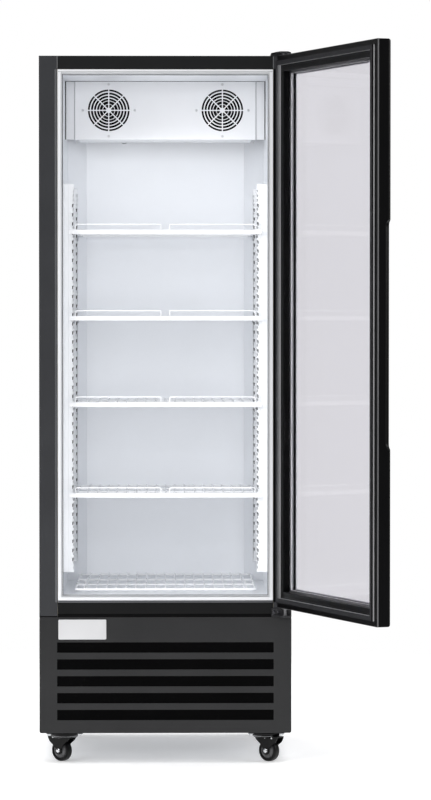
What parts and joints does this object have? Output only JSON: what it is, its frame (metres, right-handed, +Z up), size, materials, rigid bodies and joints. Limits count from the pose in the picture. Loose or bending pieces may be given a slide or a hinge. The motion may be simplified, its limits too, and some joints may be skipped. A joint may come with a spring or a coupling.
{
  "type": "upright display refrigerator",
  "caption": "Upright display refrigerator with a hinged double-glazed door, wire shelves, a fan-cooled cabinet and a base cooling unit on swivel casters.",
  "frame": {"origin": "on the floor, below the middle of the cabinet's footprint without the door", "axes": "+Z up, -Y towards the front where the door opens, +X towards the hinge side"},
  "size_m": [0.9209, 1.3819, 1.9463],
  "materials": {
    "black_steel": "satin black powder coat",
    "charcoal_steel": "satin charcoal powder coat",
    "foam": "rigid polyurethane foam",
    "white_liner": "semi-gloss white",
    "white_plastic": "satin",
    "white_steel": "satin white powder coat",
    "white_wire": "smooth white coating",
    "zinc_steel": "zinc plated",
    "fin_aluminium": "mill",
    "black_plastic": "satin",
    "filter_foam": "open-cell filter mesh",
    "shell_steel": "gloss black enamel",
    "black_rubber": "matte",
    "fin_black": "black coated",
    "fan_aluminium": "matte",
    "copper": "drawn copper",
    "grey_plastic": "satin",
    "hinge_steel": "black coated",
    "bright_steel": "polished",
    "door_frame": "satin black extrusion",
    "pane": "clear",
    "spacer": "satin",
    "gasket": "soft satin",
    "nylon": "natural nylon",
    "caster_steel": "black plated",
    "caster_rubber": "satin"
  },
  "bodies": {
    "cabinet": {"side_panel_left": "black_steel", "side_panel_right": "black_steel", "top_panel": "black_steel", "rear_panel": "black_steel", "floor_panel": "black_steel", "insulation": "foam", "inner_liner": "white_liner", "breaker_strip": "white_plastic", "shelf_standards_left": "white_steel", "shelf_standards_right": "white_steel", "shelf_clips": "zinc_steel", "shelf_1": "white_wire", "shelf_2": "white_wire", "shelf_3": "white_wire", "shelf_4": "white_wire", "floor_rack": "white_wire", "evaporator_cover": "white_steel", "evaporator_coil": "fin_aluminium", "drain_pan": "white_plastic", "drain_tube": "white_plastic", "evaporator_fan_frames": "black_plastic", "machine_deck": "zinc_steel", "base_panel": "charcoal_steel", "air_filter": "filter_foam", "rear_grille": "black_steel", "compressor": "shell_steel", "compressor_grommets": "black_rubber", "condenser": "fin_black", "condenser_shroud": "zinc_steel", "condensate_tray": "black_plastic", "refrigerant_pipes": "copper", "filter_drier": "copper", "control_box": "grey_plastic", "power_gland": "black_plastic", "top_hinge": "hinge_steel", "top_hinge_cover": "black_plastic", "bottom_hinge": "hinge_steel", "hinge_pins": "bright_steel", "caster_plates": "caster_steel"},
    "door": {"door_top_rail": "door_frame", "door_bottom_rail": "door_frame", "door_hinge_stile": "door_frame", "door_latch_stile": "door_frame", "glazing_bead": "black_plastic", "outer_glass": "pane", "inner_glass": "pane", "glass_spacer": "spacer", "door_gasket": "gasket", "hinge_bushes": "nylon"},
    "evaporator_rotor_left": {"evaporator_rotor_left": "black_plastic"},
    "evaporator_rotor_right": {"evaporator_rotor_right": "black_plastic"},
    "condenser_rotor": {"condenser_rotor": "fan_aluminium"},
    "caster_fl": {"caster_fork_fl": "caster_steel"},
    "wheel_fl": {"caster_wheel_fl": "caster_rubber"},
    "caster_fr": {"caster_fork_fr": "caster_steel"},
    "wheel_fr": {"caster_wheel_fr": "caster_rubber"},
    "caster_rl": {"caster_fork_rl": "caster_steel"},
    "wheel_rl": {"caster_wheel_rl": "caster_rubber"},
    "caster_rr": {"caster_fork_rr": "caster_steel"},
    "wheel_rr": {"caster_wheel_rr": "caster_rubber"}
  },
  "joints": [
    {"name": "door_hinge", "type": "hinge", "parent": "cabinet", "child": "door", "pos_m": [0.3265, -0.386, 0], "axis": [0, 0, 1], "range_deg": [-110, 10]},
    {"name": "evaporator_fan_left_spin", "type": "hinge", "parent": "cabinet", "child": "evaporator_rotor_left", "pos_m": [-0.16, -0.0267, 1.805], "axis": [0, 1, 0], "continuous": true},
    {"name": "evaporator_fan_right_spin", "type": "hinge", "parent": "cabinet", "child": "evaporator_rotor_right", "pos_m": [0.16, -0.0267, 1.805], "axis": [0, 1, 0], "continuous": true},
    {"name": "condenser_fan_spin", "type": "hinge", "parent": "cabinet", "child": "condenser_rotor", "pos_m": [-0.11, -0.25, 0.208], "axis": [0, 1, 0], "continuous": true},
    {"name": "caster_fl_swivel", "type": "hinge", "parent": "cabinet", "child": "caster_fl", "pos_m": [-0.277, -0.3, 0.07], "axis": [0, 0, 1], "continuous": true},
    {"name": "wheel_fl_roll", "type": "hinge", "parent": "caster_fl", "child": "wheel_fl", "pos_m": [-0.28546, -0.29297, 0.03], "axis": [-0.6388, -0.7694, 0], "continuous": true},
    {"name": "caster_fr_swivel", "type": "hinge", "parent": "cabinet", "child": "caster_fr", "pos_m": [0.277, -0.3, 0.07], "axis": [0, 0, 1], "continuous": true},
    {"name": "wheel_fr_roll", "type": "hinge", "parent": "caster_fr", "child": "wheel_fr", "pos_m": [0.28546, -0.30703, 0.03], "axis": [0.6388, 0.7694, 0], "continuous": true},
    {"name": "caster_rl_swivel", "type": "hinge", "parent": "cabinet", "child": "caster_rl", "pos_m": [-0.277, 0.3, 0.07], "axis": [0, 0, 1], "continuous": true},
    {"name": "wheel_rl_roll", "type": "hinge", "parent": "caster_rl", "child": "wheel_rl", "pos_m": [-0.28653, 0.3055, 0.03], "axis": [-0.5, -0.866, 0], "continuous": true},
    {"name": "caster_rr_swivel", "type": "hinge", "parent": "cabinet", "child": "caster_rr", "pos_m": [0.277, 0.3, 0.07], "axis": [0, 0, 1], "continuous": true},
    {"name": "wheel_rr_roll", "type": "hinge", "parent": "caster_rr", "child": "wheel_rr", "pos_m": [0.28601, 0.30631, 0.03], "axis": [-0.5736, 0.8192, 0], "continuous": true}
  ]
}
